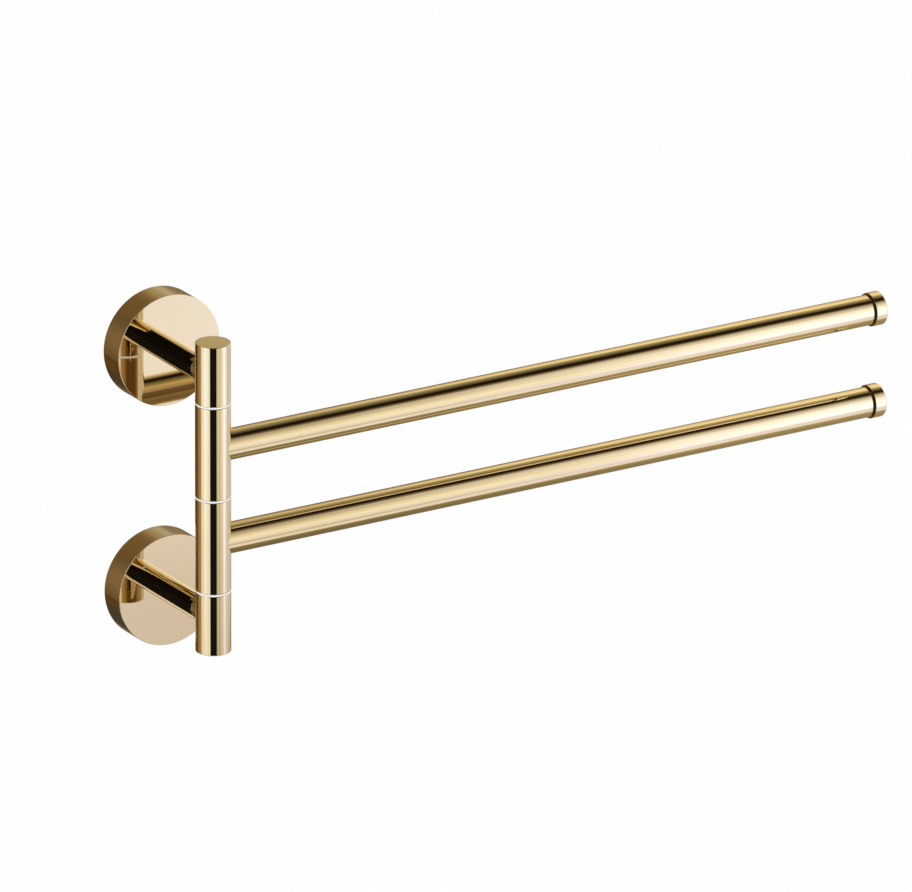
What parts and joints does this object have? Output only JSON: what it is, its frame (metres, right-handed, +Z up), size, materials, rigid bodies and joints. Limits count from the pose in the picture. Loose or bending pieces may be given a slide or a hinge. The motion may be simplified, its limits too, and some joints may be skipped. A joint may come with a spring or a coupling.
{
  "type": "swing arm towel bar",
  "caption": "Wall-mounted towel bar with long straight arms that swing one above the other on a vertical pivot column, held by posts on round flanges.",
  "frame": {"origin": "centre of the four wall holes, on the wall plane, halfway between the two flanges", "axes": "+Y points into the wall, +X runs along the arms at rest, away from the column, and +Z is up"},
  "size_m": [0.376, 0.0595, 0.166],
  "materials": {
    "polished_gold": "polished gold plating on brass",
    "raw_brass": "machined brass, unplated",
    "stainless_steel": "fine turned stainless steel",
    "zinc_plated_steel": "zinc plated steel",
    "white_nylon": "moulded white nylon"
  },
  "bodies": {
    "bracket": {"upper_mounting_plate": "zinc_plated_steel", "lower_mounting_plate": "zinc_plated_steel", "upper_flange": "polished_gold", "lower_flange": "polished_gold", "upper_grub_screw": "stainless_steel", "lower_grub_screw": "stainless_steel", "upper_post": "polished_gold", "lower_post": "polished_gold", "upper_post_screw": "stainless_steel", "lower_post_screw": "stainless_steel", "upper_post_washer": "stainless_steel", "lower_post_washer": "stainless_steel", "upper_knuckle": "polished_gold", "lower_knuckle": "polished_gold", "pivot_rod": "stainless_steel", "pivot_lock_screw": "stainless_steel", "top_wear_washer": "white_nylon", "middle_wear_washer": "white_nylon", "bottom_wear_washer": "white_nylon"},
    "upper_arm": {"upper_arm_barrel": "polished_gold", "upper_arm_top_bush": "white_nylon", "upper_arm_bottom_bush": "white_nylon", "upper_arm_stud": "stainless_steel", "upper_arm_plug": "raw_brass", "upper_arm_tube": "polished_gold", "upper_arm_end_cap": "polished_gold"},
    "lower_arm": {"lower_arm_barrel": "polished_gold", "lower_arm_top_bush": "white_nylon", "lower_arm_bottom_bush": "white_nylon", "lower_arm_stud": "stainless_steel", "lower_arm_plug": "raw_brass", "lower_arm_tube": "polished_gold", "lower_arm_end_cap": "polished_gold"}
  },
  "joints": [
    {"name": "upper_arm_swing", "type": "hinge", "parent": "bracket", "child": "upper_arm", "pos_m": [0, -0.0515, 0.0222], "axis": [0, 0, -1], "range_deg": [-6, 186]},
    {"name": "lower_arm_swing", "type": "hinge", "parent": "bracket", "child": "lower_arm", "pos_m": [0, -0.0515, -0.0222], "axis": [0, 0, -1], "range_deg": [-6, 186]}
  ]
}
